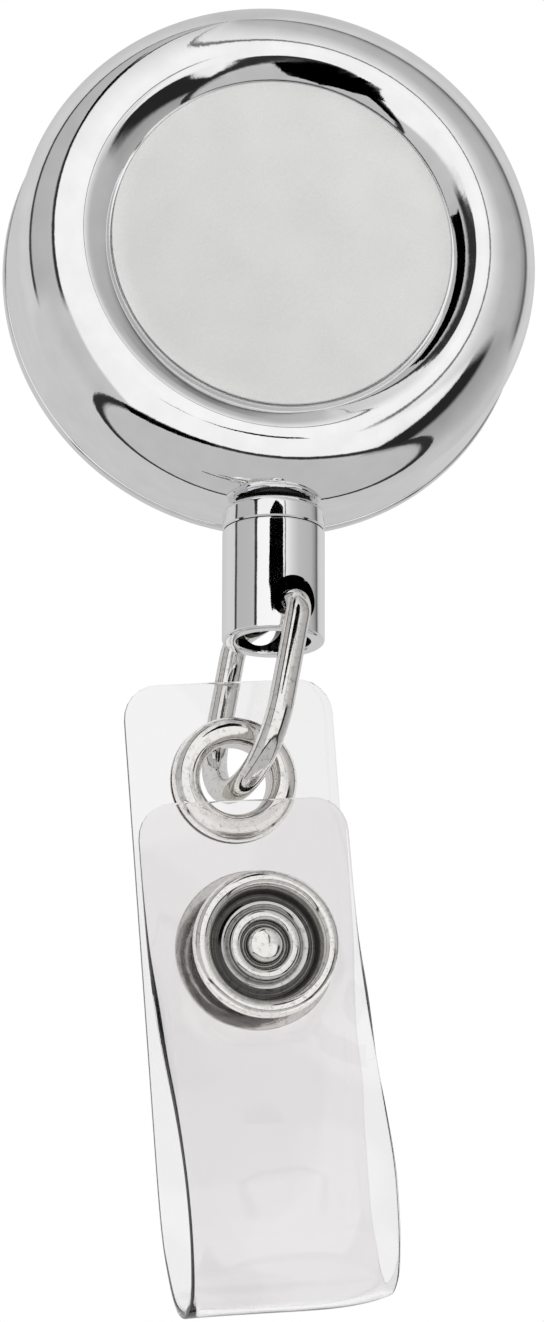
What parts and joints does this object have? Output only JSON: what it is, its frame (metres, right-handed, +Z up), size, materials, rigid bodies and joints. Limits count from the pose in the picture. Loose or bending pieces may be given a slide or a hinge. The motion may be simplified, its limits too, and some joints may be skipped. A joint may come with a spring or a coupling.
{
  "type": "retractable badge reel",
  "caption": "Round retractable badge reel with a bright plated case, a satin disc, a rear belt clip, a ferrule, a link ring and a clear snap strap.",
  "frame": {"origin": "centre of the case's flat rear face, on the case axis, where the belt clip is fixed", "axes": "+Y points out of the rear face, the face with the disc looks towards -Y, +Z is up and the strap hangs towards -Z"},
  "size_m": [0.0322, 0.0165, 0.0828],
  "materials": {
    "chrome": "mirror-bright plate",
    "satin_nickel": "fine pearl satin",
    "spring_steel": "bright nickel-plated spring steel",
    "black_plastic": "moulded",
    "white_plastic": "moulded acetal",
    "nylon_cord": "braided nylon",
    "clear_vinyl": "clear flexible vinyl"
  },
  "bodies": {
    "case": {"front_cover": "chrome", "face_disc": "satin_nickel", "rear_cover": "chrome", "centre_post": "spring_steel", "clip_rivet": "spring_steel", "outlet_bushing": "black_plastic", "clip_leaf": "spring_steel"},
    "clip_spring": {"clip_tongue": "spring_steel"},
    "reel": {"spool": "white_plastic", "spring_cover": "white_plastic", "mainspring": "spring_steel", "cord_winding": "nylon_cord"},
    "cord_end": {"cord_lead": "nylon_cord", "cord_knot": "spring_steel"},
    "ferrule": {"ferrule_cap": "chrome", "ferrule_tube": "chrome"},
    "ring": {"link_ring": "chrome"},
    "strap": {"strap_back": "clear_vinyl", "grommet_eyelet": "chrome", "grommet_washer": "chrome", "snap_stud": "chrome", "snap_post": "chrome"},
    "strap_flap": {"strap_front": "clear_vinyl", "snap_cap": "chrome", "snap_socket": "chrome"}
  },
  "joints": [
    {"name": "clip_flex", "type": "hinge", "parent": "case", "child": "clip_spring", "pos_m": [0, 0.0003, 0.01205], "axis": [1, 0, 0], "range_deg": [0, 8], "stiffness_Nm_per_rad": 0.3, "springref_deg": -5.73},
    {"name": "reel_spin", "type": "hinge", "parent": "case", "child": "reel", "pos_m": [0, -0.004, 0], "axis": [0, 1, 0], "range_deg": [0, 3600], "deforming": ["mainspring"]},
    {"name": "cord_pull", "type": "slide", "parent": "case", "child": "cord_end", "axis": [0, 0, -1], "range_m": [0, 0.6], "stiffness_N_per_m": 0.8, "springref_m": -0.8, "deforming": ["cord_lead"]},
    {"name": "ferrule_swivel", "type": "hinge", "parent": "cord_end", "child": "ferrule", "pos_m": [0, -0.0052, -0.0175], "axis": [0, 0, 1], "continuous": true},
    {"name": "ring_swing", "type": "hinge", "parent": "ferrule", "child": "ring", "pos_m": [-0.0003, -0.0052, -0.02295], "axis": [0.284, -0.9588, 0], "range_deg": [-50, 65]},
    {"name": "strap_slide", "type": "hinge", "parent": "ring", "child": "strap", "pos_m": [-0.00149, -0.00555, -0.02953], "axis": [0.9421, 0.2791, -0.1857], "range_deg": [-40, 40]},
    {"name": "snap_open", "type": "hinge", "parent": "strap", "child": "strap_flap", "pos_m": [0.00042, -0.00242, -0.06194], "axis": [0.9947, 0.0224, 0.1003], "range_deg": [0, 75]}
  ],
  "couplings": [
    {"joint": "reel_spin", "follows": "cord_pull", "rad_per_m": 92.166}
  ]
}
